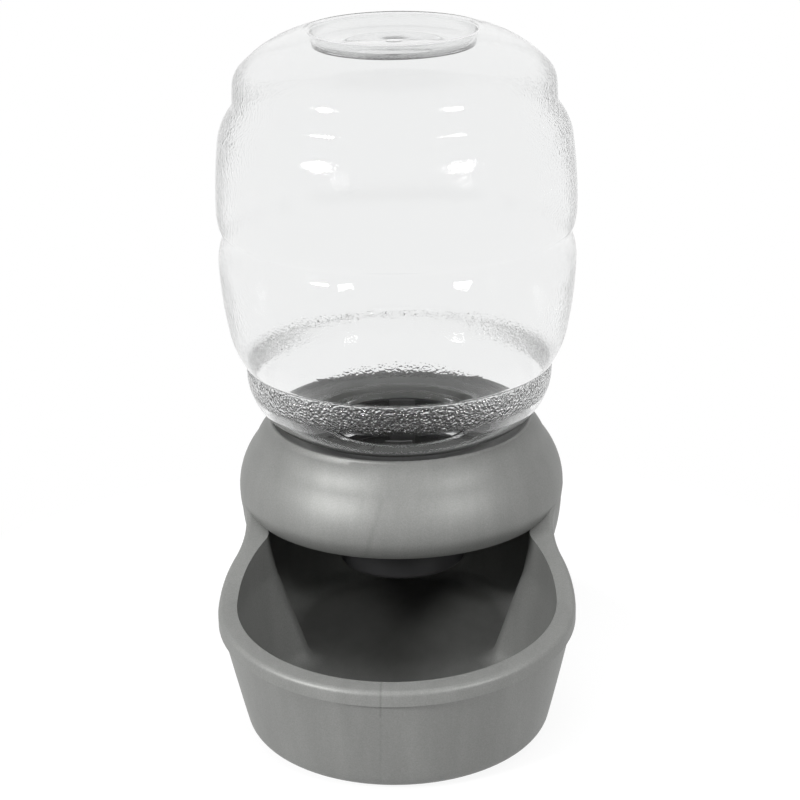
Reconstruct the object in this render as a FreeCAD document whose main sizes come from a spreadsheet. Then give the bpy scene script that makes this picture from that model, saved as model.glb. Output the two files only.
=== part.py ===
import FreeCAD, Part
import math
import os
import re

import Sketcher
from FreeCAD import Vector

# Gravity water dispenser for a pet: a grey moulded base with a drinking bowl and a domed seat,
# a clear bottle standing upside down in the seat, and a screw cap with a filter on its neck.
# Millimetres, +Z up. The dispenser stands on its feet, with the bowl towards -Y.

doc = FreeCAD.newDocument("waterDispenser")
doc.addObject("Spreadsheet::Sheet", "Dim")
doc.addObject("Spreadsheet::Sheet", "Fit")

# Sizes that can be set, each written once. Heights of the base are above the table, radii are
# from the bottle axis or the bowl axis, and a bottle height is above its own flat shoulder.
sizes = {
    # plan of the base
    "bowlOffset": 93.0,
    "waistRadius": 60.0,
    "innerWaistRadius": 8.0,
    # bowl, inwards from its rim
    "rimRadius": 86.9,
    "lipOverhang": 1.7,
    "rimWidth": 9.2,
    "bowlBellyTaper": 7.5,
    "bowlFootTaper": 12.6,
    "bowlDraft": 11.7,
    # seat, inwards from the widest place of its dome
    "domeRadius": 84.2,
    "wallUnderDome": 0.9,
    "shoulderTaper": 1.5,
    "rearTaper": 6.0,
    "rearBellyTaper": 12.6,
    "rearFootTaper": 18.2,
    "chamberWall": 3.0,
    "chamberTopWall": 2.4,
    "chamberFootWall": 5.5,
    # heights of the walls
    "footStand": 0.8,
    "wallBelly": 22.0,
    "wallBend": 56.0,
    "equatorHeight": 89.0,
    "shoulderDrop": 15.0,
    "bottomRounding": 10.0,
    "floorHeight": 6.0,
    "floorRounding": 11.0,
    # rim of the bowl
    "rimFrontHeight": 60.2,
    "rimSideHeight": 64.4,
    "rimMeetsDome": 23.0,
    "rimSweepRadius": 45.0,
    "lipHeight": 7.4,
    "rimOuterRounding": 2.6,
    # dome and bottle seat, up from the widest place and inwards from it
    "domeWall": 3.0,
    "kneeRise": 25.0,
    "kneeInset": 9.0,
    "domeEdgeDrop": 9.0,
    "domeEdgeInset": 4.0,
    "crestRise": 37.0,
    "crestInset": 17.8,
    "crestRounding": 1.2,
    "domeTopRise": 0.8,
    "ledgeDrop": 3.0,
    "ledgeThickness": 3.0,
    "seatClearance": 1.4,
    "collarLength": 10.0,
    # underside
    "landWidth": 17.0,
    "recessDepth": 2.4,
    "ribThickness": 2.0,
    "ribInset": 0.5,
    "ribSpacing": 34.0,
    # feet
    "footRadius": 7.0,
    "footSocketDepth": 1.5,
    "footClearance": 0.15,
    "footEdge": 1.6,
    "footAngle": 42.0,
    # bottle
    "bottleWall": 0.8,
    "neckRadius": 36.0,
    "neckLength": 20.0,
    "neckRounding": 3.0,
    "shoulderFlat": 9.0,
    "shoulderRounding": 30.0,
    "bandTop": 31.8,
    "lowGrooveDepth": 1.5,
    "bellyStartRadius": 78.9,
    "bellyStart": 35.6,
    "bellyStartRise": 0.6,
    "bellyKneeRadius": 85.3,
    "bellyKnee": 49.8,
    "bellyRise": 0.95,
    "bellyRadius": 89.9,
    "bellyTop": 88.2,
    "bellyTopRise": 0.4,
    "midGrooveRadius": 88.3,
    "midGrooveStart": 98.5,
    "midGrooveDepth": 0.9,
    "midGrooveEnd": 106.0,
    "chestStartRadius": 88.8,
    "chestStartRise": 0.32,
    "chestRadius": 90.1,
    "chestPeak": 115.0,
    "chestRise": 0.55,
    "chestEndRadius": 87.9,
    "chestEnd": 149.5,
    "chestEndRise": 1.13,
    "topGrooveRadius": 81.6,
    "topGrooveStart": 164.5,
    "topGrooveDepth": 0.41,
    "crownRadius": 80.0,
    "crownStart": 169.0,
    "crownRise": 0.08,
    "crownEndRadius": 79.6,
    "crownEnd": 177.0,
    "crownEndRise": 1.05,
    "topShoulderRadius": 75.0,
    "topShoulder": 186.1,
    "topRise": 2.5,
    "heelRadius": 44.6,
    "heelHeight": 202.8,
    "heelRise": 0.8,
    "recessRadius": 40.5,
    "recessWallTop": 202.0,
    "bottleRecess": 6.1,
    "recessDraft": 0.7,
    "discRise": 0.9,
    "gateRadius": 2.4,
    "gateHeight": 0.9,
    # screw cap
    "threadRoom": 1.3,
    "capWall": 2.2,
    "capTopGap": 4.0,
    "gasketThickness": 1.6,
    "gasketOverhang": 3.2,
    "noseRadius": 33.0,
    "noseTop": 31.0,
    "capLength": 76.4,
    "capFloor": 2.2,
    "outletRadius": 7.0,
    "slotCount": 8,
    "slotRadius": 2.6,
    "slotCircle": 17.0,
    "slotLength": 9.0,
    "gripCount": 36,
    "gripRadius": 1.1,
    "gripHeight": 14.0,
    "gripSink": 0.5,
    "gripInset": 1.0,
    "gasketClearance": 0.3,
    # filter
    "basketClearance": 0.4,
    "basketWall": 1.4,
    "basketFloor": 1.6,
    "basketHeight": 22.0,
    "strapWidth": 13.4,
    "strapHeight": 51.0,
    "filterClearance": 0.3,
    "feltThickness": 2.0,
    "carbonThickness": 12.0,
    "lidThickness": 2.0,
    "lidRim": 1.2,
    "sieveHoleRadius": 2.4,
    "sieveSpacing": 10.0,
}

# Places and radii that follow from them.
fits = {
    "bottleAxis": "(bowlOffset + rimRadius - chestRadius) / 2",
    "bowlWallRadius": "rimRadius - lipOverhang",
    "bowlMouthRadius": "rimRadius - rimWidth",
    "bowlBellyRadius": "bowlWallRadius - bowlBellyTaper",
    "bowlFootRadius": "bowlWallRadius - bowlFootTaper",
    "bowlFloorRadius": "bowlMouthRadius - bowlDraft",
    "lipRearRadius": "domeRadius - 0.1",
    "rearTopRadius": "domeRadius - wallUnderDome",
    "rearShoulderRadius": "domeRadius - shoulderTaper",
    "rearWallRadius": "domeRadius - rearTaper",
    "rearBellyRadius": "domeRadius - rearBellyTaper",
    "rearFootRadius": "domeRadius - rearFootTaper",
    "chamberTopRadius": "domeRadius - chamberTopWall",
    "chamberShoulderRadius": "rearShoulderRadius - chamberWall",
    "chamberWallRadius": "rearWallRadius - chamberWall",
    "chamberFloorRadius": "rearFootRadius - chamberFootWall",
    "rearShoulderHeight": "equatorHeight - shoulderDrop",
    "domeKneeRadius": "domeRadius - kneeInset",
    "domeKneeHeight": "equatorHeight + kneeRise",
    "domeEdgeRadius": "domeRadius - domeEdgeInset",
    "domeEdgeHeight": "equatorHeight - domeEdgeDrop",
    "crestRadius": "domeRadius - crestInset",
    "crestHeight": "equatorHeight + crestRise",
    "ledgeHeight": "crestHeight - ledgeDrop",
    "frontRise": "(rimSideHeight - rimFrontHeight) / bowlMouthRadius",
    "sweepRise": "(equatorHeight + 1 - rimSideHeight) / (bowlOffset - rimMeetsDome)",
    "sweepTangent": "rimSweepRadius * tan((atan(sweepRise) - atan(frontRise)) / 2)",
    "domeArc": "(kneeInset^2 + kneeRise^2) / (2 * kneeInset)",
    "domeRoll": "(domeEdgeInset^2 + domeEdgeDrop^2) / (2 * domeEdgeInset)",
    "kneeOut": "1 - kneeInset / domeArc",
    "kneeUp": "kneeRise / domeArc",
    "innerKneeRadius": "domeKneeRadius - domeWall * kneeOut",
    "innerKneeHeight": "domeKneeHeight - domeWall * kneeUp",
    "edgeOut": "1 - domeEdgeInset / domeRoll",
    "edgeDown": "domeEdgeDrop / domeRoll",
    "innerEdgeRadius": "domeEdgeRadius - domeWall * edgeOut",
    "innerEdgeHeight": "domeEdgeHeight + domeWall * edgeDown",
    "ledgeUnder": "ledgeHeight - ledgeThickness",
    "innerCrestRadius": "crestRadius - domeWall",
    "floorUnder": "footStand + recessDepth",
    "footThickness": "footStand + footSocketDepth",
    "bowlLand": "bowlFootRadius - bottomRounding - landWidth",
    "rearLand": "rearFootRadius - bottomRounding - landWidth",
    "bandRadius": "neckRadius + neckRounding + shoulderFlat + shoulderRounding",
    "skirtInner": "neckRadius + threadRoom",
    "skirtOuter": "skirtInner + capWall",
    "seatHoleRadius": "skirtOuter + gripRadius - gripSink + seatClearance",
    "capSeat": "neckLength + gasketThickness",
    "noseInner": "noseRadius - capWall",
    "basketRadius": "noseInner - basketClearance",
    "basketInner": "basketRadius - basketWall",
    "basketBottom": "capLength - capFloor",
    "padRadius": "basketInner - filterClearance",
    "lowerFeltBottom": "basketBottom - basketFloor",
    "carbonBottom": "lowerFeltBottom - feltThickness",
    "upperFeltBottom": "carbonBottom - carbonThickness",
    "lidBottom": "upperFeltBottom - feltThickness",
    "bowlRibReach": "bowlLand + ribThickness",
    "rearRibReach": "rearLand + ribThickness",
    "frontFootCircle": "bowlLand + footEdge + footRadius",
    "rearFootCircle": "rearLand + footEdge + footRadius",
    "frontFootX": "frontFootCircle * sin(footAngle * 1deg)",
    "frontFootY": "-bowlOffset - frontFootCircle * cos(footAngle * 1deg)",
    "rearFootX": "rearFootCircle * sin(footAngle * 1deg)",
    "rearFootY": "rearFootCircle * cos(footAngle * 1deg)",
}

# Each foot's place from the bottle axis.
footPlaces = {
    "foot_front_left": ("-frontFootX", "frontFootY"),
    "foot_front_right": ("frontFootX", "frontFootY"),
    "foot_rear_left": ("-rearFootX", "rearFootY"),
    "foot_rear_right": ("rearFootX", "rearFootY"),
}


def fillSheet(sheetName, rows):
    sheet = doc.getObject(sheetName)
    for row, (alias, content) in enumerate(rows.items(), start=1):
        sheet.set(f"A{row}", alias)
        sheet.set(f"B{row}", content)
        sheet.setAlias(f"B{row}", alias)
    doc.recompute()


# An expression with each size's name led by its sheet.
def bound(expression):
    def lead(word):
        name = word.group(0)
        if name in sizes:
            return f"Dim.{name}"
        if name in fits:
            return f"Fit.{name}"
        return name
    return re.sub(r"[A-Za-z]\w*", lead, expression)


def number(expression):
    return float(doc.Dim.evalExpression(bound(expression)))


fillSheet("Dim", {alias: str(value) for alias, value in sizes.items()})
fillSheet("Fit", {alias: "=" + bound(expression) for alias, expression in fits.items()})


# Bodies, sketches and features, with their sizes tied to the sheets.

def newBody(label, lift="0"):
    body = doc.addObject("PartDesign::Body", label)
    body.Label = label
    body.setExpression("Placement.Base.y", bound("bottleAxis"))
    body.setExpression("Placement.Base.z", bound(lift))
    return body


def newSketch(body, name, plane, offset="0"):
    sketch = body.newObject("Sketcher::SketchObject", name)
    support = next(f for f in body.Origin.OriginFeatures if f.Role == plane)
    sketch.AttachmentSupport = [(support, "")]
    sketch.MapMode = "FlatFace"
    sketch.setExpression("AttachmentOffset.Base.z", bound(offset))
    return sketch


def tie(sketch, constraint, expression):
    index = sketch.addConstraint(constraint)
    sketch.setExpression(f"Constraints[{index}]", bound(expression))


# Holds one vertex at (x, y) from the sketch's origin.
def pinVertex(sketch, edge, vertex, x, y):
    for kind, axis, expression in (("DistanceX", -2, x), ("DistanceY", -1, y)):
        place = number(expression)
        if abs(place) < 1e-9:
            sketch.addConstraint(Sketcher.Constraint("PointOnObject", edge, vertex, axis))
        else:
            tie(sketch, Sketcher.Constraint(kind, edge, vertex, place), expression)


# A closed outline. A corner is (x, y), or (x, y, rise, turn) where an arc leads to the next
# corner: rise is the arc's height over its chord, and it turns left (1) or right (-1).
def drawOutline(sketch, corners):
    ends = []
    for corner, following in zip(corners, corners[1:] + corners[:1]):
        here = Vector(number(corner[0]), number(corner[1]), 0)
        there = Vector(number(following[0]), number(following[1]), 0)
        if len(corner) == 2:
            ends.append((sketch.addGeometry(Part.LineSegment(here, there)), 1, 2))
            continue
        rise, turn = corner[2:]
        radius = (
            f"((({following[0]}) - ({corner[0]}))^2 + (({following[1]}) - ({corner[1]}))^2)"
            f" / (8 * ({rise})) + ({rise}) / 2"
        )
        chord = there - here
        left = Vector(-chord.y, chord.x, 0).normalize()
        centre = (here + there) / 2 + left * (turn * (number(radius) - number(rise)))
        first, last = (here, there) if turn > 0 else (there, here)
        angles = [math.atan2(p.y - centre.y, p.x - centre.x) for p in (first, last)]
        circle = Part.Circle(centre, Vector(0, 0, 1), number(radius))
        edge = sketch.addGeometry(Part.ArcOfCircle(circle, *angles))
        tie(sketch, Sketcher.Constraint("Radius", edge, number(radius)), radius)
        ends.append((edge, 1, 2) if turn > 0 else (edge, 2, 1))
    for corner, (edge, start, end), (nextEdge, nextStart, _) in zip(
        corners, ends, ends[1:] + ends[:1]
    ):
        sketch.addConstraint(Sketcher.Constraint("Coincident", edge, end, nextEdge, nextStart))
        pinVertex(sketch, edge, start, corner[0], corner[1])


def drawCircle(sketch, x, y, radius):
    centre = Vector(number(x), number(y), 0)
    edge = sketch.addGeometry(Part.Circle(centre, Vector(0, 0, 1), number(radius)))
    tie(sketch, Sketcher.Constraint("Radius", edge, number(radius)), radius)
    pinVertex(sketch, edge, 3, x, y)


def drawBox(sketch, left, near, right, far):
    drawOutline(sketch, [(left, near), (right, near), (right, far), (left, far)])


# How high a quarter circle stands over its chord.
def quarter(radius):
    return f"({radius}) * (1 - sqrt(0.5))"


# A radial slot with round ends, from one end's centre to the other's.
def drawSlot(sketch, inner, outer, radius):
    drawOutline(sketch, [
        (inner, f"-({radius})"),
        (outer, f"-({radius})", quarter(radius), 1),
        (f"{outer} + {radius}", "0", quarter(radius), 1),
        (outer, radius),
        (inner, radius, quarter(radius), 1),
        (f"{inner} - {radius}", "0", quarter(radius), 1),
    ])


# Where the waist arcs of a keyhole have their centres: to the side, and towards the bowl.
def waistCentre(rearSize, bowlSize, waistSize):
    offset = number("bowlOffset")
    along = (
        (rearSize + waistSize) ** 2 - (bowlSize + waistSize) ** 2 + offset**2
    ) / (2 * offset)
    return math.sqrt((rearSize + waistSize) ** 2 - along**2), along


# The base's plan: a round seat and a round bowl, joined by a concave waist on each side.
def drawKeyhole(sketch, rear, bowl, waist):
    offset = number("bowlOffset")
    rearSize, bowlSize, waistSize = (number(size) for size in (rear, bowl, waist))
    side, along = waistCentre(rearSize, bowlSize, waistSize)
    toRear = math.atan2(-along, side)
    toBowl = math.atan2(offset - along, side)

    def addArc(x, y, radius, start, end):
        circle = Part.Circle(Vector(x, y, 0), Vector(0, 0, 1), radius)
        return sketch.addGeometry(Part.ArcOfCircle(circle, start, end))

    rearArc = addArc(0, 0, rearSize, toRear, math.pi - toRear)
    leftArc = addArc(-side, -along, waistSize, -toBowl, -toRear)
    bowlArc = addArc(0, -offset, bowlSize, math.pi - toBowl, 2 * math.pi + toBowl)
    rightArc = addArc(side, -along, waistSize, math.pi + toRear, math.pi + toBowl)
    for joint in (
        (rearArc, 2, leftArc, 2),
        (leftArc, 1, bowlArc, 1),
        (bowlArc, 2, rightArc, 2),
        (rightArc, 1, rearArc, 1),
    ):
        sketch.addConstraint(Sketcher.Constraint("Tangent", *joint))
    pinVertex(sketch, rearArc, 3, "0", "0")
    pinVertex(sketch, bowlArc, 3, "0", "-bowlOffset")
    for edge, size in ((rearArc, rear), (bowlArc, bowl), (leftArc, waist), (rightArc, waist)):
        tie(sketch, Sketcher.Constraint("Radius", edge, number(size)), size)


def keyholeSections(body, name, waist, sections):
    sketches = []
    for index, (height, rear, bowl) in enumerate(sections):
        sketch = newSketch(body, f"{name}{index}", "XY_Plane", height)
        drawKeyhole(sketch, rear, bowl, waist)
        sketches.append(sketch)
    return sketches


def addLoft(body, kind, name, sketches, ruled):
    loft = body.newObject(f"PartDesign::{kind}Loft", name)
    loft.Profile = sketches[0]
    loft.Sections = sketches[1:]
    loft.Ruled = ruled
    doc.recompute()
    return loft


def addTurned(body, name, corners, kind="Revolution"):
    sketch = newSketch(body, f"{name}Profile", "XZ_Plane")
    drawOutline(sketch, corners)
    turned = body.newObject(f"PartDesign::{kind}", name)
    turned.Profile = sketch
    turned.ReferenceAxis = (sketch, ["V_Axis"])
    turned.Angle = 360.0
    doc.recompute()
    return turned


# Pads or pockets a sketch, along its normal unless it is reversed.
def addPressed(body, kind, name, sketch, length, backwards=False, bothWays=False):
    pressed = body.newObject(f"PartDesign::{kind}", name)
    pressed.Profile = sketch
    pressed.setExpression("Length", bound(length))
    pressed.Reversed = backwards
    pressed.Midplane = bothWays
    doc.recompute()
    return pressed


def addPattern(body, name, feature, sketch, count):
    pattern = body.newObject("PartDesign::PolarPattern", name)
    pattern.Originals = [feature]
    pattern.Axis = (sketch, ["N_Axis"])
    pattern.Angle = 360.0
    pattern.setExpression("Occurrences", bound(count))
    body.Tip = pattern
    doc.recompute()
    return pattern


# A curved strap of the basket, at its rear (1) or front (-1).
def drawStrap(sketch, side):
    half = "strapWidth / 2"
    outer = f"sqrt(basketRadius^2 - ({half})^2)"
    inner = f"sqrt(basketInner^2 - ({half})^2)"
    drawOutline(sketch, [
        (f"{side} * {half}", f"{side} * {outer}", f"basketRadius - {outer}", 1),
        (f"-{side} * {half}", f"{side} * {outer}"),
        (f"-{side} * {half}", f"{side} * {inner}", f"basketInner - {inner}", -1),
        (f"{side} * {half}", f"{side} * {inner}"),
    ])


def edgeNames(feature, chosen):
    return [
        f"Edge{index}"
        for index, edge in enumerate(feature.Shape.Edges, start=1)
        if chosen(edge)
    ]


def addFillet(body, name, feature, edges, radius):
    fillet = body.newObject("PartDesign::Fillet", name)
    fillet.Base = (feature, edges)
    fillet.setExpression("Radius", bound(radius))
    doc.recompute()
    return fillet


# The rim line in side view, from in front of the bowl to over the bottle axis. It rises
# gently past the bowl, then sweeps up to the dome. drop lowers it.
def rimLine(drop):
    reach = "2 * rimRadius"
    return [
        (f"-bowlOffset - {reach}", f"rimSideHeight - frontRise * {reach} - ({drop})"),
        (
            "-bowlOffset - sweepTangent * cos(atan(frontRise))",
            f"rimSideHeight - sweepTangent * sin(atan(frontRise)) - ({drop})",
            "rimSweepRadius * (1 - cos((atan(sweepRise) - atan(frontRise)) / 2))",
            1,
        ),
        (
            "-bowlOffset + sweepTangent * cos(atan(sweepRise))",
            f"rimSideHeight + sweepTangent * sin(atan(sweepRise)) - ({drop})",
        ),
        ("2 * domeRadius", f"rimSideHeight + sweepRise * (bowlOffset + 2 * domeRadius) - ({drop})"),
    ]


# Edges where the lip's outer wall, or the mouth's wall, meets the top of the rim.
def rimEdges(feature, rear, bowl, waist, slack):
    offset, side = number("bowlOffset"), number("rimSideHeight")
    front, sweep = number("frontRise"), number("sweepRise")
    rearSize, bowlSize, waistSize = (number(size) for size in (rear, bowl, waist))
    across, along = waistCentre(rearSize, bowlSize, waistSize)
    below = number("lipHeight") / 2
    highest = number("equatorHeight") - 1e-6

    def onRim(edge):
        first, last = edge.ParameterRange
        for part in (0.02, 0.35, 0.65, 0.98):
            point = edge.valueAt(first + (last - first) * part)
            ahead = point.y + offset
            if point.z < side + ahead * (front if ahead < 0 else sweep) - below:
                return False
            if point.z > highest:
                return False
            away = min(
                abs(math.hypot(point.x, point.y) - rearSize),
                abs(math.hypot(point.x, ahead) - bowlSize),
                abs(math.hypot(abs(point.x) - across, point.y + along) - waistSize),
            )
            if away > slack:
                return False
        return True
    return edgeNames(feature, onRim)


# The base: one moulding, with the bowl, the chamber behind it and the dome that seats the bottle.
def makeBase():
    body = newBody("base")

    lipPlan = newSketch(body, "lipPlan", "XY_Plane", "wallBelly")
    drawKeyhole(lipPlan, "lipRearRadius", "rimRadius", "waistRadius")
    addPressed(body, "Pad", "lipBlock", lipPlan, "equatorHeight - wallBelly")
    lipSide = newSketch(body, "lipSide", "YZ_Plane")
    under = rimLine("lipHeight")
    drawOutline(lipSide, under + [(under[-1][0], "0"), (under[0][0], "0")])
    addPressed(body, "Pocket", "lipUnderside", lipSide, "4 * rimRadius", bothWays=True)

    walls = keyholeSections(body, "wall", "waistRadius", [
        ("footStand", "rearFootRadius", "bowlFootRadius"),
        ("wallBelly", "rearBellyRadius", "bowlBellyRadius"),
        ("wallBend", "rearWallRadius", "bowlWallRadius"),
        ("rearShoulderHeight", "rearShoulderRadius", "bowlWallRadius"),
        ("equatorHeight", "rearTopRadius", "bowlWallRadius"),
    ])
    addLoft(body, "Additive", "lowerWalls", walls[:3], False)
    upper = addLoft(body, "Additive", "upperWalls", walls[2:], False)
    foot = number("footStand")
    bottom = edgeNames(upper, lambda e: all(abs(v.Z - foot) < 1e-6 for v in e.Vertexes))
    addFillet(body, "bottomRound", upper, bottom, "bottomRounding")

    rimSide = newSketch(body, "rimSide", "YZ_Plane")
    above = rimLine("0")
    drawOutline(rimSide, above + [(above[0][0], above[-1][1])])
    addPressed(body, "Pocket", "rimCut", rimSide, "4 * rimRadius", bothWays=True)

    hollows = keyholeSections(body, "hollow", "innerWaistRadius", [
        ("floorHeight", "chamberFloorRadius", "bowlFloorRadius"),
        ("wallBend", "chamberWallRadius", "bowlMouthRadius"),
        ("rearShoulderHeight", "chamberShoulderRadius", "bowlMouthRadius"),
        ("equatorHeight + 1", "chamberTopRadius", "bowlMouthRadius"),
    ])
    addLoft(body, "Subtractive", "lowerHollow", hollows[:2], True)
    hollow = addLoft(body, "Subtractive", "upperHollow", hollows[1:], False)

    # floor and rim edges are rounded while the wall is still alone
    floor = number("floorHeight")
    floorEdges = edgeNames(hollow, lambda e: all(abs(v.Z - floor) < 1e-6 for v in e.Vertexes))
    hollow = addFillet(body, "floorRound", hollow, floorEdges, "floorRounding")
    outer = rimEdges(hollow, "lipRearRadius", "rimRadius", "waistRadius", 0.01)
    addFillet(body, "rimRound", hollow, outer, "rimOuterRounding")

    addTurned(body, "dome", [
        ("domeEdgeRadius", "domeEdgeHeight",
         "domeRoll * (1 - cos(asin(edgeDown) / 2))", 1),
        ("domeRadius", "equatorHeight", "domeArc * (1 - cos(asin(kneeUp) / 2))", 1),
        ("domeKneeRadius", "domeKneeHeight", "domeTopRise", 1),
        ("crestRadius + crestRounding", "crestHeight - crestRounding", quarter("crestRounding"), 1),
        ("crestRadius", "crestHeight", quarter("crestRounding"), 1),
        ("crestRadius - crestRounding", "crestHeight - crestRounding"),
        ("crestRadius - crestRounding", "ledgeHeight"),
        ("seatHoleRadius", "ledgeHeight"),
        ("seatHoleRadius", "ledgeUnder - collarLength"),
        ("seatHoleRadius + domeWall", "ledgeUnder - collarLength"),
        ("seatHoleRadius + domeWall", "ledgeUnder"),
        ("innerCrestRadius", "ledgeUnder", "domeTopRise", -1),
        ("innerKneeRadius", "innerKneeHeight",
         "(domeArc - domeWall) * (1 - cos(asin(kneeUp) / 2))", -1),
        ("domeRadius - domeWall", "equatorHeight",
         "(domeRoll - domeWall) * (1 - cos(asin(edgeDown) / 2))", -1),
        ("innerEdgeRadius", "innerEdgeHeight"),
    ])

    recess = newSketch(body, "underRecess", "XY_Plane", "footStand")
    drawKeyhole(recess, "rearLand", "bowlLand", "waistRadius + landWidth")
    addPressed(body, "Pocket", "undersidePocket", recess, "recessDepth", backwards=True)
    spine = newSketch(body, "spinePlan", "XY_Plane", "footStand + ribInset")
    drawBox(spine, "-ribThickness / 2", "-bowlOffset - bowlRibReach", "ribThickness / 2", "rearRibReach")
    addPressed(body, "Pad", "spineRib", spine, "recessDepth - ribInset")
    cross = newSketch(body, "crossPlan", "XY_Plane", "footStand + ribInset")
    for place, reach in (
        ("ribSpacing", "rearRibReach"),
        ("0", "rearRibReach"),
        ("-ribSpacing", "rearRibReach"),
        ("-2 * ribSpacing", "bowlRibReach"),
        ("-3 * ribSpacing", "bowlRibReach"),
    ):
        drawBox(cross, f"-{reach}", f"{place} - ribThickness / 2", reach, f"{place} + ribThickness / 2")
    addPressed(body, "Pad", "crossRibs", cross, "recessDepth - ribInset")

    sockets = newSketch(body, "socketPlan", "XY_Plane", "footStand")
    for x, y in footPlaces.values():
        drawCircle(sockets, x, y, "footRadius + footClearance")
    addPressed(body, "Pocket", "footSockets", sockets, "footSocketDepth", backwards=True)
    return body


# The bottle's outline from its mouth to its closed top. A row is x, y, the way to the inside
# of the wall, then the arc to the next corner: rise, turn, and how the inside alters the rise.
bottleOutline = [
    ("0", "-neckLength", 0, 0),
    ("neckRadius", "-neckLength", -1, 0),
    ("neckRadius", "-neckRounding", -1, 0, quarter("neckRounding"), -1, 1),
    ("neckRadius + neckRounding", "0", 0, 1),
    ("bandRadius - shoulderRounding", "0", 0, 1, quarter("shoulderRounding"), 1, -1),
    ("bandRadius", "shoulderRounding", -1, 0),
    ("bandRadius", "bandTop", -1, 0, "lowGrooveDepth", -1, 0),
    ("bellyStartRadius", "bellyStart", -1, 0, "bellyStartRise", 1, 0),
    ("bellyKneeRadius", "bellyKnee", -1, 0, "bellyRise", 1, 0),
    ("bellyRadius", "bellyTop", -1, 0, "bellyTopRise", 1, 0),
    ("midGrooveRadius", "midGrooveStart", -1, 0, "midGrooveDepth", -1, 0),
    ("chestStartRadius", "midGrooveEnd", -1, 0, "chestStartRise", 1, 0),
    ("chestRadius", "chestPeak", -1, 0, "chestRise", 1, 0),
    ("chestEndRadius", "chestEnd", -1, 0, "chestEndRise", 1, 0),
    ("topGrooveRadius", "topGrooveStart", -1, 0, "topGrooveDepth", -1, 0),
    ("crownRadius", "crownStart", -1, 0, "crownRise", 1, 0),
    ("crownEndRadius", "crownEnd", -1, 0, "crownEndRise", 1, 0),
    ("topShoulderRadius", "topShoulder", -0.7, -0.7, "topRise", 1, 0),
    ("heelRadius", "heelHeight", -0.4, -1, "heelRise", 1, -1),
    ("recessRadius", "recessWallTop", 1, -1),
    ("recessRadius - recessDraft", "recessWallTop - bottleRecess", 1, -1),
    ("0", "recessWallTop - bottleRecess + discRise", 0, -1),
]


def makeBottle():
    body = newBody("bottle", "ledgeHeight")
    addTurned(body, "outside", [(x, y, *arc[:2]) for x, y, _, _, *arc in bottleOutline])
    inside = []
    for x, y, across, along, *arc in bottleOutline:
        corner = (f"{x} + {across} * bottleWall", f"{y} + {along} * bottleWall")
        if arc:
            corner += (f"{arc[0]} + {arc[2]} * {quarter('bottleWall')}", arc[1])
        inside.append(corner)
    addTurned(body, "inside", inside, "Groove")
    gate = newSketch(body, "gatePlan", "XY_Plane", "recessWallTop - bottleRecess")
    drawCircle(gate, "0", "0", "gateRadius")
    addPressed(body, "Pad", "gate", gate, "discRise + gateHeight")
    return body


# The cap hangs from the neck: a threaded skirt, then a narrower nose that holds the filter
# and lets the water out through its floor.
def makeCap():
    body = newBody("screw_cap", "ledgeHeight")
    addTurned(body, "shell", [
        ("skirtInner", "-capTopGap"),
        ("skirtInner", "-capSeat"),
        ("noseInner", "-capSeat"),
        ("noseInner", "-basketBottom"),
        ("outletRadius", "-basketBottom"),
        ("outletRadius", "-capLength"),
        ("noseRadius - capWall", "-capLength", quarter("capWall"), 1),
        ("noseRadius", "capWall - capLength"),
        ("noseRadius", "-noseTop"),
        ("skirtOuter", "-capSeat - capWall"),
        ("skirtOuter", "-capTopGap"),
    ])
    slot = newSketch(body, "slotPlan", "XY_Plane", "-capLength")
    drawSlot(slot, "slotCircle - slotLength / 2 + slotRadius", "slotCircle + slotLength / 2 - slotRadius",
             "slotRadius")
    first = addPressed(body, "Pocket", "slot", slot, "capFloor", backwards=True)
    addPattern(body, "slots", first, slot, "slotCount")
    grip = newSketch(body, "gripPlan", "XY_Plane", "-capSeat + gripInset")
    drawCircle(grip, "skirtOuter - gripSink", "0", "gripRadius")
    first = addPressed(body, "Pad", "grip", grip, "gripHeight")
    addPattern(body, "grips", first, grip, "gripCount")
    return body


def makeGasket():
    body = newBody("cap_gasket", "ledgeHeight - capSeat")
    plan = newSketch(body, "ringPlan", "XY_Plane")
    drawCircle(plan, "0", "0", "skirtInner - gasketClearance")
    drawCircle(plan, "0", "0", "neckRadius - bottleWall - gasketOverhang")
    addPressed(body, "Pad", "ring", plan, "gasketThickness")
    return body


# A plate's ring of equal round holes about its middle.
def sieve(body, height, depth):
    middle = newSketch(body, "sieveMiddle", "XY_Plane", height)
    drawCircle(middle, "0", "0", "sieveHoleRadius")
    addPressed(body, "Pocket", "middleHole", middle, depth, backwards=True)
    for ring in (1, 2):
        plan = newSketch(body, f"sieveRing{ring}", "XY_Plane", height)
        drawCircle(plan, f"{ring} * sieveSpacing", "0", "sieveHoleRadius")
        hole = addPressed(body, "Pocket", f"ringHole{ring}", plan, depth, backwards=True)
        addPattern(body, f"ringHoles{ring}", hole, plan, f"{6 * ring}")


def makeBasket():
    body = newBody("filter_basket", "ledgeHeight - basketBottom")
    addTurned(body, "cup", [
        ("0", "0"),
        ("basketRadius", "0"),
        ("basketRadius", "basketHeight"),
        ("basketInner", "basketHeight"),
        ("basketInner", "basketFloor"),
        ("0", "basketFloor"),
    ])
    straps = newSketch(body, "strapPlan", "XY_Plane", "basketHeight - basketFloor")
    for side in (1, -1):
        drawStrap(straps, side)
    addPressed(body, "Pad", "straps", straps, "strapHeight + basketFloor")
    sieve(body, "0", "basketFloor")
    return body


def makeLid():
    body = newBody("basket_lid", "ledgeHeight - lidBottom")
    addTurned(body, "plate", [
        ("0", "0"),
        ("padRadius", "0"),
        ("padRadius", "lidThickness + lidRim"),
        ("padRadius - lidRim", "lidThickness + lidRim"),
        ("padRadius - lidRim", "lidThickness"),
        ("0", "lidThickness"),
    ])
    sieve(body, "0", "lidThickness")
    return body


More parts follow.
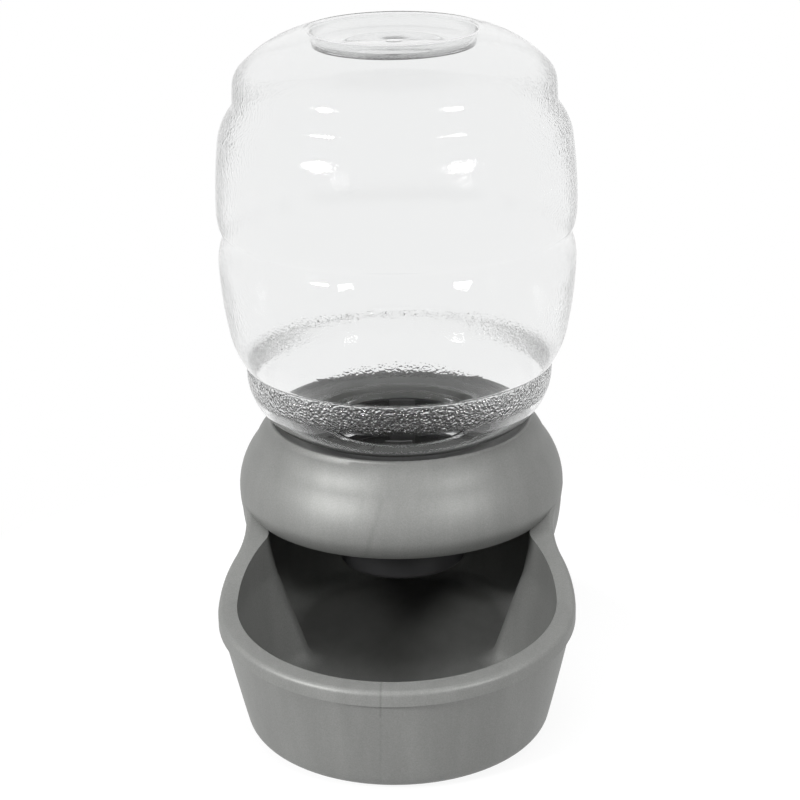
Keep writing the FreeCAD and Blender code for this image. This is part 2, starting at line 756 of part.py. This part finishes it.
def makeDisc(label, lift, thickness, radius="padRadius"):
    body = newBody(label, lift)
    plan = newSketch(body, "discPlan", "XY_Plane")
    drawCircle(plan, "0", "0", radius)
    addPressed(body, "Pad", "disc", plan, thickness)
    return body


def makeFoot(label, x, y):
    body = makeDisc(label, "0", "footThickness", "footRadius")
    body.setExpression("Placement.Base.x", bound(x))
    body.setExpression("Placement.Base.y", bound(f"bottleAxis + {y}"))
    return body


nodes = [makeBase(), makeBottle(), makeCap(), makeGasket(), makeBasket(), makeLid()]
nodes += [
    makeDisc("felt_disc_lower", "ledgeHeight - lowerFeltBottom", "feltThickness"),
    makeDisc("carbon_disc", "ledgeHeight - carbonBottom", "carbonThickness"),
    makeDisc("felt_disc_upper", "ledgeHeight - upperFeltBottom", "feltThickness"),
]
nodes += [makeFoot(label, x, y) for label, (x, y) in footPlaces.items()]
doc.recompute()

for item in doc.Objects:
    if "Invalid" in item.State or "Error" in item.State:
        raise RuntimeError(f"{item.Name}: {item.State}")
for node in nodes:
    if node.Shape.isNull() or not node.Shape.isValid() or len(node.Shape.Solids) != 1:
        raise RuntimeError(f"{node.Label} is not one valid solid")

os.makedirs("parts", exist_ok=True)
for node in nodes:
    node.Shape.exportStep(f"parts/{node.Label}.step")
    box = node.Shape.BoundBox
    print(f"{node.Label}: volume {node.Shape.Volume:.0f}, z {box.ZMin:.2f} to {box.ZMax:.2f}")
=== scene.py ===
import math

import bmesh
import bpy
from mathutils import Matrix, Vector


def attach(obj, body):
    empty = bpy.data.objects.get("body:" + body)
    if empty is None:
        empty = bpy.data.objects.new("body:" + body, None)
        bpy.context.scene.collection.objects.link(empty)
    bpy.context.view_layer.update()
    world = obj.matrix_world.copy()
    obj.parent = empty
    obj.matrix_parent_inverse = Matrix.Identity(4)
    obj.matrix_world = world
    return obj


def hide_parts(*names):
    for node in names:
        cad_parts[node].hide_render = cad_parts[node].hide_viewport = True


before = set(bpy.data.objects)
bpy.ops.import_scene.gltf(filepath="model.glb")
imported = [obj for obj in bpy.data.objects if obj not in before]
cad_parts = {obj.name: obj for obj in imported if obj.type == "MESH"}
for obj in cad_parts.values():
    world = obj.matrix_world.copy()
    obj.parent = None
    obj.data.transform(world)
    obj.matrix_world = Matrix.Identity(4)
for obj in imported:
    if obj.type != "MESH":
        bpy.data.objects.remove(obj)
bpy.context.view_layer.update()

# Gravity pet water dispenser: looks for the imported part. Metres, +Z up, bowl towards -Y.
# Sizes in the dictionaries are millimetres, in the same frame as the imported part.

bottleAxis = 44.9
seatHeight = 123.0


# Mesh helpers

# Points along a line of corners (r, z) or (r, z, rise, turn), arcs bulging by their rise.
def profilePoints(corners, step=0.9, longest=12.0):
    line = []
    for corner, after in zip(corners, corners[1:]):
        start, end = Vector(corner[:2]), Vector(after[:2])
        line.append(start)
        if len(corner) == 2:
            count = max(1, int((end - start).length / longest))
            line += [start.lerp(end, i / count) for i in range(1, count)]
            continue
        rise, turn = corner[2:]
        chord = end - start
        radius = chord.length_squared / (8 * rise) + rise / 2
        left = Vector((-chord.y, chord.x)).normalized()
        centre = (start + end) / 2 + left * (turn * (radius - rise))
        first = math.atan2(start.y - centre.y, start.x - centre.x)
        sweep = 2 * math.asin(min(1, chord.length / 2 / radius)) * turn
        count = max(4, int(abs(sweep) * radius / step))
        for i in range(1, count):
            angle = first + sweep * i / count
            line.append(centre + Vector((math.cos(angle), math.sin(angle))) * radius)
    line.append(Vector(corners[-1][:2]))
    return line


# The wall's other side, moved in along each point's own normal.
def insetLine(line, wall):
    moved = []
    for i, point in enumerate(line):
        before, after = line[max(i - 1, 0)], line[min(i + 1, len(line) - 1)]
        along = (after - before).normalized()
        moved.append(Vector((max(point.x - along.y * wall, 0), point.y + along.x * wall)))
    moved[0].y = line[0].y
    moved[-1].x = 0
    return moved


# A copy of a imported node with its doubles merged, shaded smooth up to a given angle.
def smoothCopy(node, name, angle, doubles=2e-6):
    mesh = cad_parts[node].data.copy()
    mesh.name = name
    thing = bpy.data.objects.new(name, mesh)
    bpy.context.scene.collection.objects.link(thing)
    shape = bmesh.new()
    shape.from_mesh(mesh)
    bmesh.ops.remove_doubles(shape, verts=shape.verts, dist=doubles)
    shape.to_mesh(mesh)
    shape.free()
    if "custom_normal" in mesh.attributes:
        mesh.attributes.remove(mesh.attributes["custom_normal"])
    mesh.shade_smooth()
    mesh.set_sharp_from_angle(angle=math.radians(angle))
    return thing


def addNode(nodes, kind, **values):
    node = nodes.new(kind)
    for key, value in values.items():
        setattr(node, key, value)
    return node


# Geometry Nodes helpers

# An empty tree with geometry in and out, and its named sizes as inputs.
def newTree(name, sizes):
    tree = bpy.data.node_groups.new(name, "GeometryNodeTree")
    tree.interface.new_socket(name="Geometry", in_out="INPUT", socket_type="NodeSocketGeometry")
    for label, kind in sizes.items():
        tree.interface.new_socket(name=label, in_out="INPUT", socket_type="NodeSocket" + kind)
    tree.interface.new_socket(name="Geometry", in_out="OUTPUT", socket_type="NodeSocketGeometry")
    entry, result = tree.nodes.new("NodeGroupInput"), tree.nodes.new("NodeGroupOutput")
    return tree, tree.nodes, tree.links, entry, result


# Runs a tree on a mesh with these input values and keeps the result as a plain mesh.
def growMesh(name, tree, points, edges, values):
    seed = bpy.data.meshes.new(name + "Profile")
    seed.from_pydata(points, edges, [])
    thing = bpy.data.objects.new(name, seed)
    bpy.context.scene.collection.objects.link(thing)
    modifier = thing.modifiers.new("grow", "NODES")
    modifier.node_group = tree
    for item in tree.interface.items_tree:
        if item.in_out == "INPUT" and item.name in values:
            modifier[item.identifier] = values[item.name]
    view = bpy.context.evaluated_depsgraph_get()
    grown = bpy.data.meshes.new_from_object(thing.evaluated_get(view))
    thing.modifiers.remove(modifier)
    thing.data = grown
    grown.name = name
    bpy.data.meshes.remove(seed)
    return thing


# Ends every tree: its place, smooth shading, real faces, its material.
def finishTree(nodes, links, geometry, entry, result):
    place = nodes.new("GeometryNodeTransform")
    smooth = nodes.new("GeometryNodeSetShadeSmooth")
    real = nodes.new("GeometryNodeRealizeInstances")
    finish = nodes.new("GeometryNodeSetMaterial")
    links.new(geometry, place.inputs["Geometry"])
    links.new(entry.outputs["Place"], place.inputs["Translation"])
    links.new(place.outputs["Geometry"], smooth.inputs["Geometry"])
    links.new(smooth.outputs["Geometry"], real.inputs["Geometry"])
    links.new(real.outputs["Geometry"], finish.inputs["Geometry"])
    links.new(entry.outputs["Material"], finish.inputs["Material"])
    links.new(finish.outputs["Geometry"], result.inputs["Geometry"])


# Turns a profile round an axis: the profile is swept along a ring of Path Radius.
def makeTurnedTree(doubles=1e-6):
    tree, nodes, links, entry, result = newTree("turnedForm", {
        "Segments": "Int", "Path Radius": "Float", "Place": "Vector", "Material": "Material",
    })
    profile = nodes.new("GeometryNodeMeshToCurve")
    ring = addNode(nodes, "GeometryNodeCurvePrimitiveCircle", mode="RADIUS")
    upright = addNode(nodes, "GeometryNodeSetCurveNormal", mode="Z_UP")
    sweep = nodes.new("GeometryNodeCurveToMesh")
    poles = nodes.new("GeometryNodeMergeByDistance")
    poles.inputs["Distance"].default_value = doubles
    links.new(entry.outputs["Geometry"], profile.inputs["Mesh"])
    links.new(entry.outputs["Segments"], ring.inputs["Resolution"])
    links.new(entry.outputs["Path Radius"], ring.inputs["Radius"])
    links.new(ring.outputs["Curve"], upright.inputs["Curve"])
    links.new(upright.outputs["Curve"], sweep.inputs["Curve"])
    links.new(profile.outputs["Curve"], sweep.inputs["Profile Curve"])
    links.new(sweep.outputs["Mesh"], poles.inputs["Geometry"])
    finishTree(nodes, links, poles.outputs["Geometry"], entry, result)
    return tree


# A bead that climbs round an axis, for screw threads.
def makeThreadTree(steps=96, sides=10):
    tree, nodes, links, entry, result = newTree("screwThread", {
        "Turns": "Float", "Radius": "Float", "Height": "Float", "Bead": "Float",
        "Place": "Vector", "Material": "Material",
    })
    climb = nodes.new("GeometryNodeCurveSpiral")
    climb.inputs["Resolution"].default_value = steps
    upright = addNode(nodes, "GeometryNodeSetCurveNormal", mode="Z_UP")
    bead = addNode(nodes, "GeometryNodeCurvePrimitiveCircle", mode="RADIUS")
    bead.inputs["Resolution"].default_value = sides
    sweep = nodes.new("GeometryNodeCurveToMesh")
    sweep.inputs["Fill Caps"].default_value = True
    links.new(entry.outputs["Turns"], climb.inputs["Rotations"])
    links.new(entry.outputs["Radius"], climb.inputs["Start Radius"])
    links.new(entry.outputs["Radius"], climb.inputs["End Radius"])
    links.new(entry.outputs["Height"], climb.inputs["Height"])
    links.new(entry.outputs["Bead"], bead.inputs["Radius"])
    links.new(climb.outputs["Curve"], upright.inputs["Curve"])
    links.new(upright.outputs["Curve"], sweep.inputs["Curve"])
    links.new(bead.outputs["Curve"], sweep.inputs["Profile Curve"])
    finishTree(nodes, links, sweep.outputs["Mesh"], entry, result)
    return tree


# Material helpers

def newMaterial(name):
    material = bpy.data.materials.new(name)
    material.use_nodes = True
    return material, material.node_tree, material.node_tree.nodes["Principled BSDF"]


def setInputs(node, values):
    for socket, value in values.items():
        node.inputs[socket].default_value = value


# Links a socket into an input, or sets a plain value there.
def feed(tree, entry, value):
    if isinstance(value, bpy.types.NodeSocket):
        tree.links.new(value, entry)
    else:
        entry.default_value = value


def mathOf(tree, operation, *values):
    node = addNode(tree.nodes, "ShaderNodeMath", operation=operation)
    for entry, value in zip(node.inputs, values):
        feed(tree, entry, value)
    return node.outputs[0]


# A value moved from one range into another, held at both ends.
def rangeOf(tree, value, fromMin, fromMax, toMin, toMax):
    node = tree.nodes.new("ShaderNodeMapRange")
    setInputs(node, {"From Min": fromMin, "From Max": fromMax, "To Min": toMin, "To Max": toMax})
    tree.links.new(value, node.inputs["Value"])
    return node.outputs["Result"]


def noiseOf(tree, place, scale, detail, roughness):
    node = tree.nodes.new("ShaderNodeTexNoise")
    setInputs(node, {"Detail": detail, "Roughness": roughness})
    tree.links.new(place, node.inputs["Vector"])
    feed(tree, node.inputs["Scale"], scale)
    return node.outputs["Fac"]


def timesFactor(tree, colour, factor):
    node = addNode(tree.nodes, "ShaderNodeVectorMath", operation="SCALE")
    tree.links.new(colour, node.inputs[0])
    tree.links.new(factor, node.inputs["Scale"])
    return node.outputs[0]


def lengthOf(tree, vector):
    node = addNode(tree.nodes, "ShaderNodeVectorMath", operation="LENGTH")
    tree.links.new(vector, node.inputs[0])
    return node.outputs["Value"]


# Object coordinates stretched by a scale and moved.
def mappedPlace(tree, place, scale, move=(0, 0, 0)):
    node = tree.nodes.new("ShaderNodeMapping")
    setInputs(node, {"Location": move, "Scale": scale})
    tree.links.new(place, node.inputs["Vector"])
    return node.outputs["Vector"]


# Object coordinates, whole and as separate X, Y and Z.
def objectPlace(tree):
    place = tree.nodes.new("ShaderNodeTexCoord").outputs["Object"]
    apart = tree.nodes.new("ShaderNodeSeparateXYZ")
    tree.links.new(place, apart.inputs[0])
    return place, apart.outputs


def addBump(tree, shader, height, strength, distance):
    bump = tree.nodes.new("ShaderNodeBump")
    setInputs(bump, {"Strength": strength, "Distance": distance})
    tree.links.new(height, bump.inputs["Height"])
    tree.links.new(bump.outputs["Normal"], shader.inputs["Normal"])


# Moulded surface: grain that shows as relief and speckle, and faint cloudiness. Scales in points a metre.
def makeMouldedGroup(cloudScale=28.0):
    group = bpy.data.node_groups.new("mouldedSurface", "ShaderNodeTree")
    for name, kind, value in (
        ("Colour", "NodeSocketColor", (0.5, 0.5, 0.5, 1)),
        ("Clouding", "NodeSocketFloat", 0.06),
        ("Speckle", "NodeSocketFloat", 0.0),
        ("Grain Scale", "NodeSocketFloat", 1500.0),
        ("Grain Height", "NodeSocketFloat", 0.5),
        ("Roughness", "NodeSocketFloat", 0.45),
        ("Roughness Change", "NodeSocketFloat", 0.08),
    ):
        socket = group.interface.new_socket(name=name, in_out="INPUT", socket_type=kind)
        socket.default_value = value
    for name, kind in (("Colour", "Color"), ("Roughness", "Float"), ("Height", "Float")):
        group.interface.new_socket(name=name, in_out="OUTPUT", socket_type="NodeSocket" + kind)
    given = group.nodes.new("NodeGroupInput").outputs
    result = group.nodes.new("NodeGroupOutput").inputs
    place = group.nodes.new("ShaderNodeTexCoord").outputs["Object"]
    cloud = noiseOf(group, place, cloudScale, 3.0, 0.5)
    grain = noiseOf(group, place, given["Grain Scale"], 2.0, 0.6)
    # both noises about zero, each times its own share, added to one
    cloudLean = mathOf(group, "SUBTRACT", cloud, 0.5)
    grainLean = mathOf(group, "SUBTRACT", grain, 0.5)
    clouded = mathOf(group, "MULTIPLY_ADD", cloudLean, given["Clouding"], 1.0)
    shade = mathOf(group, "MULTIPLY_ADD", grainLean, given["Speckle"], clouded)
    rough = mathOf(group, "MULTIPLY_ADD", cloudLean, given["Roughness Change"], given["Roughness"])
    height = mathOf(group, "MULTIPLY", grain, given["Grain Height"])
    group.links.new(timesFactor(group, given["Colour"], shade), result["Colour"])
    group.links.new(rough, result["Roughness"])
    group.links.new(height, result["Height"])
    return group


mouldedGroup = makeMouldedGroup()


# A material on the moulded surface group. Distance is the bump's depth in metres.
def mouldedMaterial(name, colour, distance, metallic=0.0, strength=0.5, **inputs):
    material, tree, shader = newMaterial(name)
    surface = addNode(tree.nodes, "ShaderNodeGroup", node_tree=mouldedGroup)
    setInputs(surface, {"Colour": (*colour, 1), **inputs})
    tree.links.new(surface.outputs["Colour"], shader.inputs["Base Color"])
    tree.links.new(surface.outputs["Roughness"], shader.inputs["Roughness"])
    addBump(tree, shader, surface.outputs["Height"], strength, distance)
    shader.inputs["Metallic"].default_value = metallic
    return material


def dress(thing, material):
    thing.data.materials.clear()
    thing.data.materials.append(material)


# Base: grey plastic with a fine pearly grain

base = {
    "colour": (0.23, 0.233, 0.225),
    "metallic": 0.4,
    "roughness": 0.52,
    "clouding": 0.06,
    "grainScale": 1500.0,
    "grainDepth": 0.00016,  # metres
    "speckle": 0.5,
    "streaks": 0.05,
    "streakScale": (110, 60, 7),
    "smoothAngle": 32.0,
    # lines left by the moulding: side at a height, lean, fade width, darkening, lowest and highest
    "seams": (
        (-4.8, 60.0, 0.03, 0.8, 0.22, 44.0, 75.0),  # rim
        (-4.8, 60.0, 0.03, 1.0, 0.07, 0.0, 44.0),  # wall
        (-15.0, 84.0, 0.31, 2.2, 0.1, 80.0, 112.0),  # flow line on the dome
    ),
    "seamsBefore": -25.0,  # the seams run only in front of this Y
    # painted shade: the seat is darkened round the neck and more towards the front, where the bottle
    # shades it
    "paintedSeatShade": (49.0, 3.0, 13.0, 0.16),  # radius, soft edge, shift to the front, tone
    "paintedShadeBottom": 108.0,
}


# 1 on a line down the front of the base, fading to its sides, and 0 elsewhere.
def seamMask(tree, apart, side, height, lean, fade, low, high):
    slope = mathOf(tree, "MULTIPLY_ADD", apart["Z"], -lean, apart["X"])
    across = mathOf(tree, "SUBTRACT", slope, (side - lean * height) / 1000)
    line = rangeOf(tree, mathOf(tree, "ABSOLUTE", across), 0.0, fade / 1000, 1.0, 0.0)
    upwards = mathOf(tree, "SUBTRACT", apart["Z"], (low + high) / 2000)
    reach = (high - low) / 2000
    span = rangeOf(tree, mathOf(tree, "ABSOLUTE", upwards), reach * 0.9, reach, 1.0, 0.0)
    front = mathOf(tree, "LESS_THAN", apart["Y"], base["seamsBefore"] / 1000)
    return mathOf(tree, "MULTIPLY", mathOf(tree, "MULTIPLY", line, span), front)


# Mask of painted shade: 1 in the seat round the neck, within a ring whose middle lies a little to the
# front, and 0 elsewhere.
def paintedSeatShadeMask(tree, place, apart, radius, edge, shift):
    flat = mappedPlace(tree, place, (1, 1, 0), (0, (shift - bottleAxis) / 1000, 0))
    away = lengthOf(tree, flat)
    ring = rangeOf(tree, away, (radius - edge) / 1000, (radius + edge) / 1000, 1.0, 0.0)
    above = mathOf(tree, "GREATER_THAN", apart["Z"], base["paintedShadeBottom"] / 1000)
    return mathOf(tree, "MULTIPLY", ring, above)


# Moulding marks and painted shade: flow streaks down the height, seams, and painted shade darkening the
# seat's inner ring.
def markMouldingAndPaintedShade(material):
    tree = material.node_tree
    shaded = tree.nodes["Principled BSDF"].inputs["Base Color"]
    colour = shaded.links[0].from_socket
    place, apart = objectPlace(tree)
    flow = noiseOf(tree, mappedPlace(tree, place, base["streakScale"]), 1.0, 2.0, 0.55)
    tone = rangeOf(tree, flow, 0.3, 0.7, 1 - base["streaks"], 1 + base["streaks"])
    for side, height, lean, fade, darkening, low, high in base["seams"]:
        mask = seamMask(tree, apart, side, height, lean, fade, low, high)
        tone = mathOf(tree, "MULTIPLY_ADD", mask, -darkening, tone)
    # painted shade: the seat's inner ring is darkened, more at its front, as shade under the bottle
    radius, edge, shift, paintedShadeTone = base["paintedSeatShade"]
    seat = paintedSeatShadeMask(tree, place, apart, radius, edge, shift)
    final = mathOf(tree, "MULTIPLY", tone, rangeOf(tree, seat, 0.0, 1.0, 1.0, paintedShadeTone))
    tree.links.new(timesFactor(tree, colour, final), shaded)


baseMaterial = mouldedMaterial(
    "pearlGreyPlastic", base["colour"], base["grainDepth"], metallic=base["metallic"],
    **{
        "Grain Scale": base["grainScale"],
        "Roughness": base["roughness"],
        "Clouding": base["clouding"],
        "Speckle": base["speckle"],
    },
)
markMouldingAndPaintedShade(baseMaterial)
baseMoulding = smoothCopy("base", "baseMoulding", base["smoothAngle"])
dress(baseMoulding, baseMaterial)
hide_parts("base")
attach(baseMoulding, "dispenser")
print("base done")


# Bottle: clear blown plastic, upside down, heights above its flat shoulder

quarter = 1 - math.sqrt(0.5)  # rise of a quarter circle for each millimetre of radius
bottle = {
    "segments": 160,
    "wall": 0.8,
    "pathRadius": 50.0,  # ring that the wall's profile is swept along
    "tint": (0.925, 0.928, 0.928),
    "roughness": 0.02,
    "ior": 1.38,
    "pebbleScale": 740.0,
    "pebbleDepth": 0.0009,  # metres
    "pebbleStrength": 0.6,
    # how strong the pebbles are at each height above the floor
    "pebbleBands": (
        (143, 0.0), (146.5, 1.0), (155.5, 1.0), (160, 0.0), (170, 0.0), (184, 0.08), (206, 0.08),
        (213, 0.01), (230, 0.01), (238, 0.08), (262, 0.08), (276, 0.16), (306, 0.12), (314, 0.0),
    ),
    "bandRange": (120.0, 330.0),
    "waveScale": 38.0,
    "waveShare": 0.12,
    "shoulder": (123.4, 0.9, 0.1),  # height of the level shoulder, half its span, its alpha
    "outside": (
        (36.0, -20.0),  # mouth
        (36.0, -3.0, 3.0 * quarter, -1),
        (39.0, 0.0),  # shoulder
        (48.0, 0.0, 30.0 * quarter, 1),
        (78.0, 30.0),  # pebbled band
        (78.0, 31.8, 1.5, -1),
        (78.9, 35.6, 0.6, 1),  # belly
        (85.3, 49.8, 0.95, 1),
        (89.9, 88.2, 0.4, 1),
        (88.3, 98.5, 0.9, -1),  # middle groove
        (88.8, 106.0, 0.32, 1),
        (90.1, 115.0, 0.55, 1),  # chest
        (87.9, 149.5, 1.13, 1),
        (81.6, 164.5, 0.41, -1),  # top groove
        (80.0, 169.0, 0.08, 1),
        (79.6, 177.0, 1.05, 1),  # crown
        (75.0, 186.1, 2.5, 1),
        (44.6, 202.8, 0.8, 1),
        (40.5, 202.0),  # recess
        (39.8, 195.9),
        (5.2, 196.7),  # ring of the gate mark
        (4.4, 197.0),
        (3.4, 196.85),
        (0.0, 196.9),
    ),
}


def makeBottleMaterial():
    material, tree, shader = newMaterial("clearBottlePlastic")
    setInputs(shader, {
        "Base Color": (*bottle["tint"], 1),
        "Roughness": bottle["roughness"],
        "IOR": bottle["ior"],
        "Transmission Weight": 1.0,
    })
    place, apart = objectPlace(tree)
    pebbles = addNode(tree.nodes, "ShaderNodeTexVoronoi", feature="F1")
    setInputs(pebbles, {"Scale": bottle["pebbleScale"], "Randomness": 0.9})
    tree.links.new(place, pebbles.inputs["Vector"])
    waves = noiseOf(tree, place, bottle["waveScale"], 2.0, 0.5)
    low, high = bottle["bandRange"]
    ramp = tree.nodes.new("ShaderNodeValToRGB")
    stops = bottle["pebbleBands"]
    while len(ramp.color_ramp.elements) < len(stops):
        ramp.color_ramp.elements.new(0.5)
    for element, (height, amount) in zip(ramp.color_ramp.elements, stops):
        element.position = (height - low) / (high - low)
        element.color = (amount, amount, amount, 1)
    level = rangeOf(tree, apart["Z"], low / 1000, high / 1000, 0.0, 1.0)
    tree.links.new(level, ramp.inputs["Fac"])
    relief = mathOf(tree, "MULTIPLY", pebbles.outputs["Distance"], ramp.outputs["Color"])
    surface = mathOf(tree, "MULTIPLY_ADD", waves, bottle["waveShare"], relief)
    addBump(tree, shader, surface, bottle["pebbleStrength"], bottle["pebbleDepth"])
    # the level shoulder round the neck is nearly unseen, so that it doesn't mirror the white room
    height, reach, alpha = bottle["shoulder"]
    shoulder = mathOf(tree, "COMPARE", apart["Z"], height / 1000, reach / 1000)
    tree.links.new(rangeOf(tree, shoulder, 0.0, 1.0, 1.0, alpha), shader.inputs["Alpha"])
    return material


bottleMaterial = makeBottleMaterial()
outsideLine = profilePoints(bottle["outside"])
wallLine = list(reversed(outsideLine)) + insetLine(outsideLine, bottle["wall"])
bottleShell = growMesh(
    "bottleShell",
    makeTurnedTree(),
    [((r - bottle["pathRadius"]) / 1000, -z / 1000, 0) for r, z in wallLine],
    [(i, i + 1) for i in range(len(wallLine) - 1)],
    {
        "Segments": bottle["segments"],
        "Path Radius": bottle["pathRadius"] / 1000,
        "Place": (0, bottleAxis / 1000, seatHeight / 1000),
        "Material": bottleMaterial,
    },
)
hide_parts("bottle")
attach(bottleShell, "dispenser")
print("bottle done")


# Cap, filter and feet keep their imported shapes

# colour, bump depth in metres, roughness, grain scale, clouding, and the nodes in it
finishes = {
    "capPlastic": ((0.02, 0.02, 0.021), 0.00008, 0.42, 1200.0, 0.1, ("screw_cap",)),
    "basketPlastic": (
        (0.06, 0.06, 0.06), 0.00008, 0.45, 1200.0, 0.06, ("filter_basket", "basket_lid"),
    ),
    "gasketRubber": ((0.06, 0.06, 0.06), 0.00008, 0.6, 900.0, 0.06, ("cap_gasket",)),
    "filterFelt": (
        (0.75, 0.75, 0.7), 0.0006, 0.9, 1400.0, 0.2, ("felt_disc_lower", "felt_disc_upper"),
    ),
    "carbonGrains": ((0.012, 0.012, 0.012), 0.001, 0.75, 800.0, 0.5, ("carbon_disc",)),
    "footRubber": (
        (0.02, 0.02, 0.02), 0.0002, 0.7, 1000.0, 0.06,
        ("foot_front_left", "foot_front_right", "foot_rear_left", "foot_rear_right"),
    ),
}
for name, (colour, depth, roughness, grain, clouding, nodeNames) in finishes.items():
    material = mouldedMaterial(
        name, colour, depth,
        **{"Roughness": roughness, "Grain Scale": grain, "Clouding": clouding},
    )
    for nodeName in nodeNames:
        dress(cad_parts[nodeName], material)

# Screw threads: a bead outside the neck and one inside the cap's skirt, on the same climb
thread = {
    "turns": 1.75,
    "pitch": 4.0,
    "neckBead": 0.55,
    "neckRadius": 36.1,
    "neckStart": 106.5,
    "capBead": 0.45,
    "capRadius": 37.25,
    "capStart": 108.6,
}
threadTree = makeThreadTree()
for part, material, body, slot in (
    ("neck", bottleMaterial, "dispenser", "bottle_plastic"),
    ("cap", bpy.data.materials["capPlastic"], "cap", "cap_plastic"),
):
    bead = growMesh(part + "Thread", threadTree, [], [], {
        "Turns": thread["turns"],
        "Radius": thread[part + "Radius"] / 1000,
        "Height": thread["turns"] * thread["pitch"] / 1000,
        "Bead": thread[part + "Bead"] / 1000,
        "Place": (0, bottleAxis / 1000, thread[part + "Start"] / 1000),
        "Material": material,
    })
    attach(bead, body)
print("cap, filter and feet done")


# Stage: white floor that keeps a soft shadow near the object, white world behind

# Metres, degrees and watts. A turn is 0 in front and + to the right.
stage = {
    "floorSize": 6.0,
    "floorColour": 0.35,
    "nearGlow": 0.55,  # share of plain white in the floor at the object
    "nearWhite": 1.62,  # its strength there, so that only the shadow is under white
    "nearEdge": 0.14,  # where the floor begins to turn plain white
    "whiteFrom": 0.3,  # where it is plain white
    "worldLight": 0.26,
    "aimHeight": 0.13,
    # turn, rise, distance, width and height, watts
    "softboxLeft": (-47.0, 21.0, 1.15, (0.22, 0.15), 9.5),
    "softboxRight": (42.0, 21.0, 1.15, (0.22, 0.15), 4.2),
    "overheadFill": (0.0, 76.0, 1.5, (1.2, 1.0), 14.0),
}


# 1 where white shows directly, in gloss or through clear walls, and 0 for light that falls on things.
def seenDirectly(tree):
    path = tree.nodes.new("ShaderNodeLightPath").outputs
    seen = mathOf(tree, "MAXIMUM", path["Is Camera Ray"], path["Is Transmission Ray"])
    seen = mathOf(tree, "MAXIMUM", seen, path["Is Glossy Ray"])
    first = mathOf(tree, "LESS_THAN", path["Diffuse Depth"], 0.5)
    return mathOf(tree, "MULTIPLY", seen, first)


def makeFloor():
    half = stage["floorSize"] / 2
    mesh = bpy.data.meshes.new("floor")
    corners = [(-half, -half, 0), (half, -half, 0), (half, half, 0), (-half, half, 0)]
    mesh.from_pydata(corners, [], [(0, 1, 2, 3)])
    floor = bpy.data.objects.new("floor", mesh)
    bpy.context.scene.collection.objects.link(floor)
    material, tree, shader = newMaterial("whiteFloor")
    tone = stage["floorColour"]
    setInputs(shader, {
        "Base Color": (tone, tone, tone, 1), "Roughness": 0.9, "Specular IOR Level": 0.0,
    })
    glow = tree.nodes.new("ShaderNodeEmission")
    away = lengthOf(tree, tree.nodes.new("ShaderNodeTexCoord").outputs["Object"])
    near, far = stage["nearEdge"], stage["whiteFrom"]
    power = rangeOf(tree, away, near, far, stage["nearWhite"], 1.0)
    tree.links.new(power, glow.inputs["Strength"])
    white = rangeOf(tree, away, near, far, stage["nearGlow"], 1.0)
    mix = tree.nodes.new("ShaderNodeMixShader")
    tree.links.new(mathOf(tree, "MULTIPLY", seenDirectly(tree), white), mix.inputs["Fac"])
    tree.links.new(shader.outputs[0], mix.inputs[1])
    tree.links.new(glow.outputs[0], mix.inputs[2])
    tree.links.new(mix.outputs[0], tree.nodes["Material Output"].inputs["Surface"])
    dress(floor, material)


def makeWorld():
    world = bpy.data.worlds.new("whiteRoom")
    bpy.context.scene.world = world
    world.use_nodes = True
    tree = world.node_tree
    background = tree.nodes["Background"]
    background.inputs["Color"].default_value = (1, 1, 1, 1)
    strength = rangeOf(tree, seenDirectly(tree), 0.0, 1.0, stage["worldLight"], 1.0)
    tree.links.new(strength, background.inputs["Strength"])


def addSoftbox(name):
    turn, rise, distance, size, watts = stage[name]
    light = bpy.data.lights.new(name, "AREA")
    light.shape = "RECTANGLE"
    light.size, light.size_y, light.energy = *size, watts
    lamp = bpy.data.objects.new(name, light)
    target = Vector((0, bottleAxis / 1000, stage["aimHeight"]))
    around, above = math.radians(turn), math.radians(rise)
    away = Vector((
        math.sin(around) * math.cos(above), -math.cos(around) * math.cos(above), math.sin(above),
    ))
    lamp.location = target + away * distance
    lamp.rotation_euler = (-away).to_track_quat("-Z", "Y").to_euler()
    bpy.context.scene.collection.objects.link(lamp)
    return lamp


makeFloor()
makeWorld()
addSoftbox("softboxLeft")
addSoftbox("softboxRight")
overhead = addSoftbox("overheadFill")
overhead.visible_glossy = False  # fills from above without a patch of light on the bottle's crown
overhead.visible_transmission = False
print("stage done")


# Camera, as the photograph was taken: metres, degrees, and millimetres for lens and sensor

shot = {
    "distance": 1.05178,
    "height": 0.52466,
    "pitch": 20.41,
    "turn": 2.0,
    "roll": 1.0,
    "lens": 97.9,
    "sensor": 36.0,
    "nearest": 0.01,
}

camera = bpy.data.objects.new("camera", bpy.data.cameras.new("camera"))
bpy.context.scene.collection.objects.link(camera)
camera.data.lens = shot["lens"]
camera.data.sensor_width = shot["sensor"]
camera.data.clip_start = shot["nearest"]
camera.matrix_world = (
    Matrix.Translation((0, bottleAxis / 1000, 0))
    @ Matrix.Rotation(math.radians(shot["turn"]), 4, "Z")
    @ Matrix.Translation((0, -shot["distance"], shot["height"]))
    @ Matrix.Rotation(math.radians(90 - shot["pitch"]), 4, "X")
    @ Matrix.Rotation(math.radians(-shot["roll"]), 4, "Z")
)
bpy.context.scene.camera = camera
bpy.context.scene.view_settings.view_transform = "Standard"
print("camera done")
